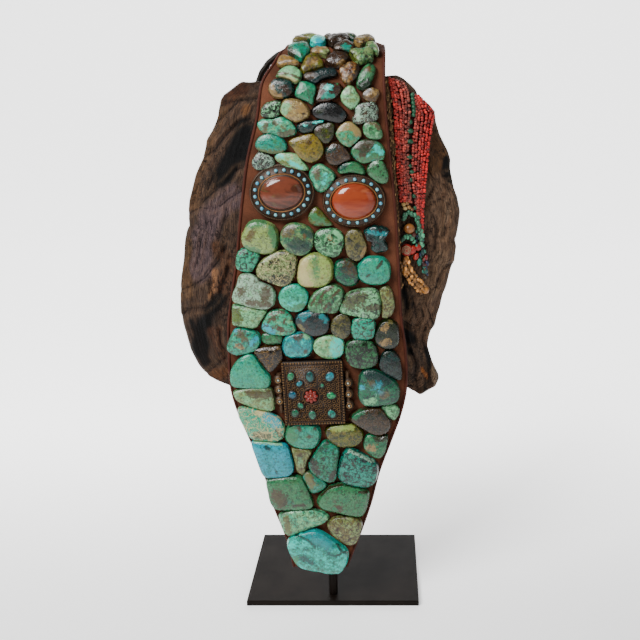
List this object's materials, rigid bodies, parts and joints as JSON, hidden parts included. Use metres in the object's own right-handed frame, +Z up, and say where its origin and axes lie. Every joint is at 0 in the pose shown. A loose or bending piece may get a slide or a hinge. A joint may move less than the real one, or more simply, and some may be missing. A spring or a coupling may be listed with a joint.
{
  "type": "turquoise headdress on a stand",
  "caption": "Long felt strap headdress set with turquoise, with hide ear flaps, a coral strand panel and an amulet box, hung on a black steel stand.",
  "frame": {"origin": "middle of the base plate's underside", "axes": "+Z up, -Y towards the front, +X to the viewer's right as the headdress is seen from the front"},
  "size_m": [0.2919, 0.1543, 0.6024],
  "materials": {
    "stand_steel": "satin black paint",
    "strap_felt": "worn red-brown felt",
    "ear_hide": "creased dry hide, worn to tan on its ridges",
    "coral": "polished red coral beads",
    "tassel_beads": "mixed amber, brass and glass beads",
    "setting_bronze": "dark bronze with a bright rim",
    "agate_brown": "polished brown-red agate",
    "carnelian_orange": "polished orange carnelian",
    "box_bronze": "dark bronze filigree",
    "turquoise": "polished turquoise with brown and black veins"
  },
  "bodies": {
    "root": {"amulet_box": "box_bronze", "amulet_coral": "coral", "amulet_hinge_left": "box_bronze", "amulet_hinge_right": "box_bronze", "back_stones": "turquoise", "base_plate": "stand_steel", "bead_tassel": "tassel_beads", "cabochon_left": "agate_brown", "cabochon_right": "carnelian_orange", "cabochon_setting_left": "setting_bronze", "cabochon_setting_right": "setting_bronze", "coral_panel": "coral", "cradle": "stand_steel", "ear_flap_left": "ear_hide", "ear_flap_right": "ear_hide", "middle_stone": "turquoise", "post": "stand_steel", "row_01_stones": "turquoise", "row_02_stones": "turquoise", "row_03_stones": "turquoise", "row_04_stones": "turquoise", "row_05_stones": "turquoise", "row_06_stones": "turquoise", "row_07_stones": "turquoise", "row_08_stone_1": "turquoise", "row_08_stone_2": "turquoise", "row_08_stones_3": "turquoise", "row_09_stone_1": "turquoise", "row_09_stone_2": "turquoise", "row_09_stone_3": "turquoise", "row_09_stones_4": "turquoise", "row_10_stone_1": "turquoise", "row_10_stone_2": "turquoise", "row_10_stones_3": "turquoise", "row_11_stone_1": "turquoise", "row_11_stones_2": "turquoise", "row_11_stones_4": "turquoise", "row_12_stone_1": "turquoise", "row_12_stones_2": "turquoise", "row_12_stones_3": "turquoise", "row_12_stones_5": "turquoise", "row_13_stone_1": "turquoise", "row_13_stone_5": "turquoise", "row_13_stones_3": "turquoise", "row_14_stone_1": "turquoise", "row_14_stones_2": "turquoise", "row_15_stone_1": "turquoise", "row_15_stones_2": "turquoise", "row_16_stone_1": "turquoise", "row_16_stone_2": "turquoise", "row_16_stone_3": "turquoise", "row_17_stone_1": "turquoise", "row_17_stone_4": "turquoise", "row_17_stones_2": "turquoise", "row_18_stone_1": "turquoise", "row_18_stones_2": "turquoise", "row_19_stone_1": "turquoise", "row_19_stone_2": "turquoise", "strap": "strap_felt", "tip_stone": "turquoise"}
  },
  "joints": []
}
